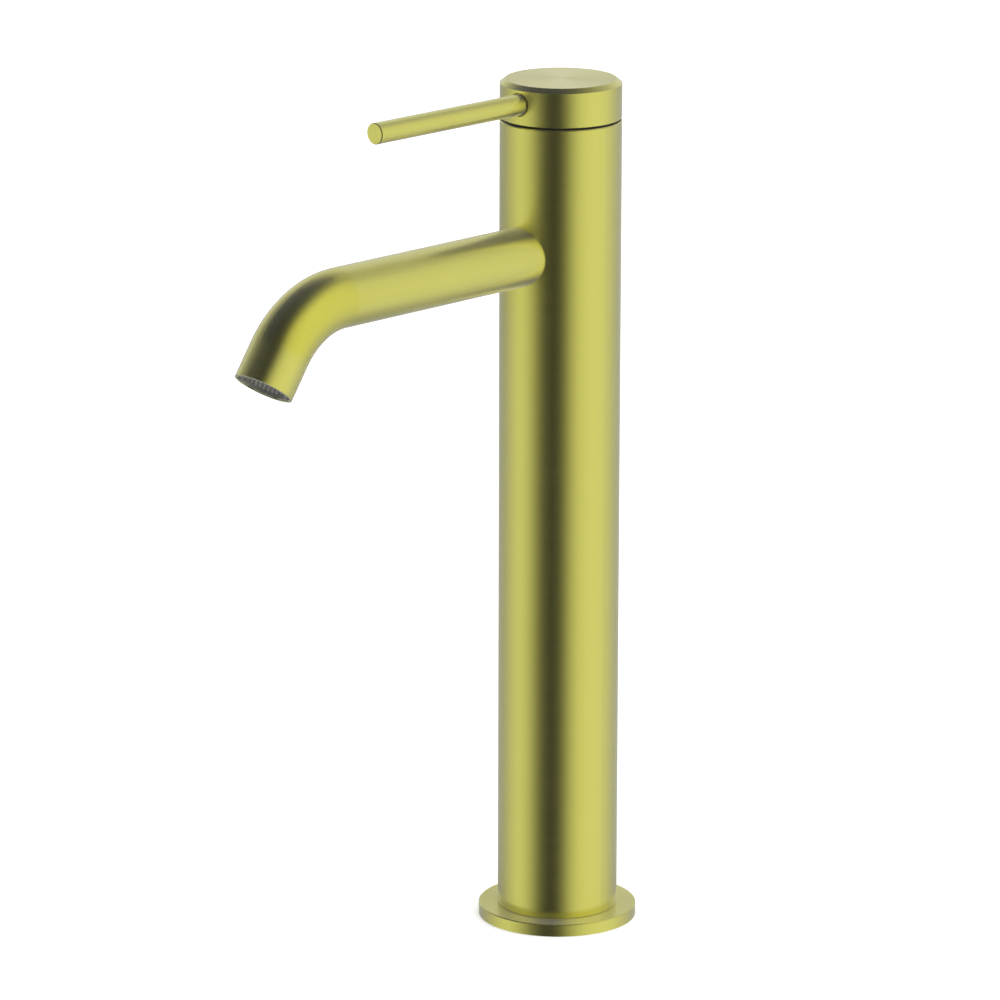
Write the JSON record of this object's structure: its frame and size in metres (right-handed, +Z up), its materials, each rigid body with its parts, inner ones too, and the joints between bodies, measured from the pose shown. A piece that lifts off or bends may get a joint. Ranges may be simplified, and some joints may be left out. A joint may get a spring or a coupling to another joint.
{
  "type": "bathroom mixer faucet",
  "caption": "Tall single-lever basin mixer: round brushed-gold column on a thin base flange, long bent tubular spout near the top and a thin rod lever on the cap.",
  "frame": {"origin": "column axis at deck level, where the base flange stands", "axes": "+Z up the column, spout and lever along -Y, hot side on -X"},
  "size_m": [0.0554, 0.178, 0.2995],
  "materials": {
    "brushed_gold": "brushed",
    "cast_brass": "machined",
    "copper": "satin",
    "steel": "satin",
    "disc_ceramic": "polished",
    "cream_plastic": "matte",
    "grey_plastic": "satin",
    "blue_plastic": "matte",
    "dark_plastic": "matte",
    "black_rubber": "matte"
  },
  "bodies": {
    "faucet_body": {"base_flange": "brushed_gold", "base_gasket": "black_rubber", "column_tube": "brushed_gold", "inlet_block": "cast_brass", "hot_riser_pipe": "copper", "cold_riser_pipe": "copper", "riser_o_rings": "black_rubber", "valve_body": "cast_brass", "spout_tube": "brushed_gold", "aerator_gasket": "black_rubber", "aerator_filter": "grey_plastic", "aerator_insert": "grey_plastic", "aerator_housing": "grey_plastic", "cartridge_base": "cream_plastic", "cartridge_base_seals": "black_rubber", "port_seals": "black_rubber", "fixed_ceramic_disc": "disc_ceramic", "cartridge_housing": "cream_plastic", "cartridge_nut": "cast_brass", "cover_ring": "dark_plastic", "cover_ring_seal": "black_rubber"},
    "temperature_rotor": {"cartridge_rotor": "cream_plastic", "stem_pivot_pin": "steel"},
    "handle": {"lever_stem": "steel", "handle_cap": "brushed_gold", "lever_rod": "brushed_gold", "handle_grub_screw": "steel", "grub_hole_plug": "brushed_gold"},
    "mixing_disc": {"moving_ceramic_disc": "disc_ceramic", "disc_carrier": "blue_plastic"}
  },
  "joints": [
    {"name": "temperature_turn", "type": "hinge", "parent": "faucet_body", "child": "temperature_rotor", "pos_m": [0, 0, 0.2747], "axis": [0, 0, 1], "range_deg": [-45, 45]},
    {"name": "flow_lift", "type": "hinge", "parent": "temperature_rotor", "child": "handle", "pos_m": [0, 0, 0.2747], "axis": [-1, 0, 0], "range_deg": [0, 20]},
    {"name": "disc_slide", "type": "slide", "parent": "temperature_rotor", "child": "mixing_disc", "axis": [0, -1, 0], "range_m": [0, 0.003]}
  ],
  "couplings": [
    {"joint": "disc_slide", "follows": "flow_lift", "m_per_rad": 0.008594}
  ]
}
